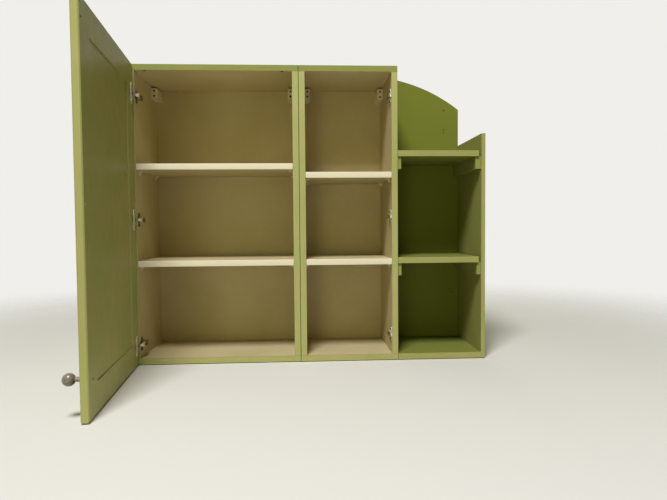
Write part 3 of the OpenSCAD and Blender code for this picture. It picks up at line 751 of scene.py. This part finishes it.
forward = Vector((math.sin(YAW) * math.cos(PITCH), math.cos(YAW) * math.cos(PITCH), math.sin(PITCH)))
level_right = Vector((math.cos(YAW), -math.sin(YAW), 0.0))
level_up = level_right.cross(forward)
right = math.cos(ROLL) * level_right + math.sin(ROLL) * level_up
up = -math.sin(ROLL) * level_right + math.cos(ROLL) * level_up
lens = bpy.data.cameras.new("photo_camera")
lens.sensor_width = 36.0
lens.lens = FOCAL_PX / WIDTH_PX * lens.sensor_width
camera = bpy.data.objects.new("photo_camera", lens)
camera.matrix_world = Matrix((
    (right.x, up.x, -forward.x, CAMERA_AT.x),
    (right.y, up.y, -forward.y, CAMERA_AT.y),
    (right.z, up.z, -forward.z, CAMERA_AT.z),
    (0.0, 0.0, 0.0, 1.0)))
scene.collection.objects.link(camera)
scene.camera = camera


def soft_lamp(name, place, aim, size, power, colour):
    data = bpy.data.lights.new(name, "AREA")
    data.shape = "RECTANGLE"
    data.size, data.size_y = size
    data.energy = power
    data.color = colour
    lamp = bpy.data.objects.new(name, data)
    lamp.location = place
    lamp.rotation_mode = "QUATERNION"
    lamp.rotation_quaternion = (Vector(aim) - Vector(place)).to_track_quat("-Z", "Y")
    lamp.visible_camera = False
    scene.collection.objects.link(lamp)


soft_lamp("window_light", (-0.51, -2.3, 3.0), (0.0, -0.28, 0.0), (0.9, 0.9), 150.0, (0.98, 0.99, 1.06))
soft_lamp("room_light", (-0.9, -4.2, -0.2), (0.0, -0.28, 0.0), (0.8, 0.6), 13.0, (1.0, 0.98, 0.5))
soft_lamp("rear_light", (0.2, 2.6, 0.1), (0.0, 0.0, 0.0), (1.2, 0.6), 25.0, (1.0, 0.98, 0.95))


def studio_world():
    world = bpy.data.worlds.new("studio")
    world.use_nodes = True
    tree = world.node_tree
    tree.nodes.clear()
    path = tree.nodes.new("ShaderNodeLightPath")
    seen = tree.nodes.new("ShaderNodeMath")
    seen.operation = "MAXIMUM"
    seen_all = tree.nodes.new("ShaderNodeMath")
    seen_all.operation = "MAXIMUM"
    tree.links.new(path.outputs["Is Camera Ray"], seen.inputs[0])
    tree.links.new(path.outputs["Is Glossy Ray"], seen.inputs[1])
    tree.links.new(seen.outputs[0], seen_all.inputs[0])
    tree.links.new(path.outputs["Is Transmission Ray"], seen_all.inputs[1])
    fill = tree.nodes.new("ShaderNodeBackground")
    fill.inputs["Color"].default_value = (0.96, 1.0, 0.25, 1.0)
    fill.inputs["Strength"].default_value = 0.1
    shown = tree.nodes.new("ShaderNodeBackground")
    shown.inputs["Color"].default_value = srgb(240, 239, 235)
    shown.inputs["Strength"].default_value = 1.0
    mix = tree.nodes.new("ShaderNodeMixShader")
    tree.links.new(seen_all.outputs[0], mix.inputs[0])
    tree.links.new(fill.outputs[0], mix.inputs[1])
    tree.links.new(shown.outputs[0], mix.inputs[2])
    out = tree.nodes.new("ShaderNodeOutputWorld")
    tree.links.new(mix.outputs[0], out.inputs[0])
    scene.world = world


def studio_floor(level):
    """A pale floor that fades into the background away from the object."""
    reach = 9.0
    mesh = bpy.data.meshes.new("floor")
    mesh.from_pydata([(-reach, -reach, level), (reach, -reach, level),
                      (reach, reach, level), (-reach, reach, level)], [], [(0, 1, 2, 3)])
    floor = bpy.data.objects.new("floor", mesh)
    scene.collection.objects.link(floor)
    shader = Shader("floor_pale")
    x, y, z = shader.axes()
    squares = shader.math("ADD", shader.math("MULTIPLY", x, x), shader.math("MULTIPLY", y, y))
    far = shader.math("SQRT", squares)
    shown = shader.spread(far, 0.7, 2.6, 1.0, 0.0)
    clear = shader.add("ShaderNodeBsdfTransparent")
    mix = shader.add("ShaderNodeMixShader")
    shader.join(shown, mix.inputs[0])
    shader.join(clear.outputs[0], mix.inputs[1])
    shader.join(shader.bsdf.outputs[0], mix.inputs[2])
    shader.join(mix.outputs[0], shader.out.inputs[0])
    tone = shader.blend(shader.spread(shader.noise(2.0), 0.3, 0.8, 0.0, 0.2),
                        srgb(225, 222, 212), srgb(219, 215, 203))
    mesh.materials.append(shader.set(Base_Color=tone, Roughness=0.8))
    floor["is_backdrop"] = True


studio_world()
studio_floor(cad_low.z - 2 * MM)
scene.view_settings.view_transform = "Standard"

low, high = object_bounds()
